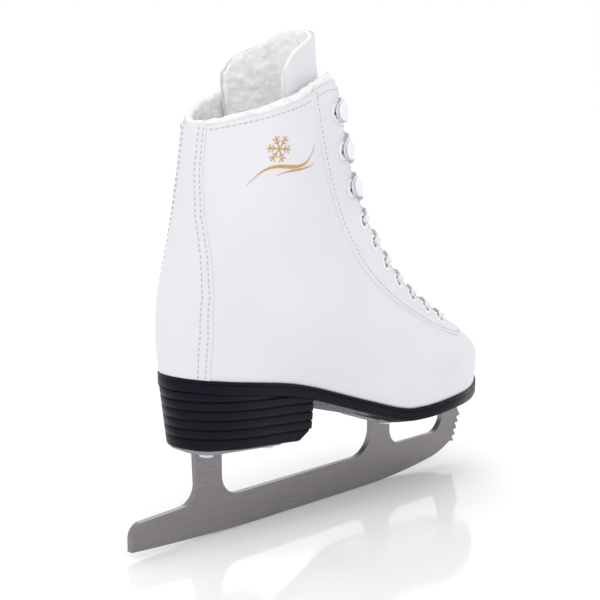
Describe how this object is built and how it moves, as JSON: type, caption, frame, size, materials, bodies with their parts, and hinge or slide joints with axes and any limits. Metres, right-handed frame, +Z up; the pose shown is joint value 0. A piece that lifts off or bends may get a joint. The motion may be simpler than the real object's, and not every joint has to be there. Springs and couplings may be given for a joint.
{
  "type": "figure skate",
  "caption": "Laced white leather figure skate for the right foot, with a fleece lining, a black heel and sole, and a steel blade with toe picks.",
  "frame": {"origin": "the point of the blade's rocker that rests on the ice, on the middle plane of the blade", "axes": "+X towards the toe along the blade, +Y towards the inner side of the foot, +Z up, away from the ice"},
  "size_m": [0.2895, 0.0862, 0.2813],
  "materials": {
    "upper_leather": "smooth coated white leather with a fine grain, satin",
    "facing_leather": "smooth coated white leather, stitched, satin",
    "fleece": "off-white tufted fleece, matt",
    "foam": "open-cell foam sheet, matt",
    "fibre_board": "pressed fibre board, matt",
    "sole_rubber": "moulded black rubber, satin",
    "grey_grain": "speckled grey grained rubber, matt",
    "blade_steel": "brushed along its length, ground running edge",
    "plate_steel": "pressed steel plate, satin",
    "screw_zinc": "bright zinc",
    "white_enamel": "white enamel, gloss",
    "lace_weave": "flat woven polyester lace, matt"
  },
  "bodies": {
    "boot": {"back_panel": "upper_leather", "blade": "blade_steel", "collar_padding": "foam", "eyelet_lateral_1": "white_enamel", "eyelet_lateral_2": "white_enamel", "eyelet_lateral_3": "white_enamel", "eyelet_lateral_4": "white_enamel", "eyelet_lateral_5": "white_enamel", "eyelet_lateral_6": "white_enamel", "eyelet_lateral_7": "white_enamel", "eyelet_medial_1": "white_enamel", "eyelet_medial_2": "white_enamel", "eyelet_medial_3": "white_enamel", "eyelet_medial_4": "white_enamel", "eyelet_medial_5": "white_enamel", "eyelet_medial_6": "white_enamel", "eyelet_medial_7": "white_enamel", "fleece_lining": "fleece", "footbed": "fleece", "heel_block": "sole_rubber", "heel_counter": "fibre_board", "heel_plate": "plate_steel", "heel_screw_1": "screw_zinc", "heel_screw_2": "screw_zinc", "heel_screw_3": "screw_zinc", "heel_screw_4": "screw_zinc", "insole_board": "fibre_board", "lace": "lace_weave", "lace_facing": "facing_leather", "lace_hook_lateral_1": "white_enamel", "lace_hook_lateral_2": "white_enamel", "lace_hook_lateral_3": "white_enamel", "lace_hook_medial_1": "white_enamel", "lace_hook_medial_2": "white_enamel", "lace_hook_medial_3": "white_enamel", "outsole": "sole_rubber", "quarters_and_vamp": "upper_leather", "sole_plate": "plate_steel", "sole_screw_1": "screw_zinc", "sole_screw_2": "screw_zinc", "sole_screw_3": "screw_zinc", "sole_screw_4": "screw_zinc", "sole_screw_5": "screw_zinc", "sole_screw_6": "screw_zinc", "steel_shank": "plate_steel", "toe_puff": "fibre_board", "tongue_body": "fleece", "waist_cover": "grey_grain"},
    "tongue_tip": {"tongue_flap": "fleece"}
  },
  "joints": [
    {"name": "tongue_flex", "type": "hinge", "parent": "boot", "child": "tongue_tip", "pos_m": [0.0015, 0, 0.2484], "axis": [0, 1, 0], "range_deg": [0, 18], "stiffness_Nm_per_rad": 0.06}
  ]
}
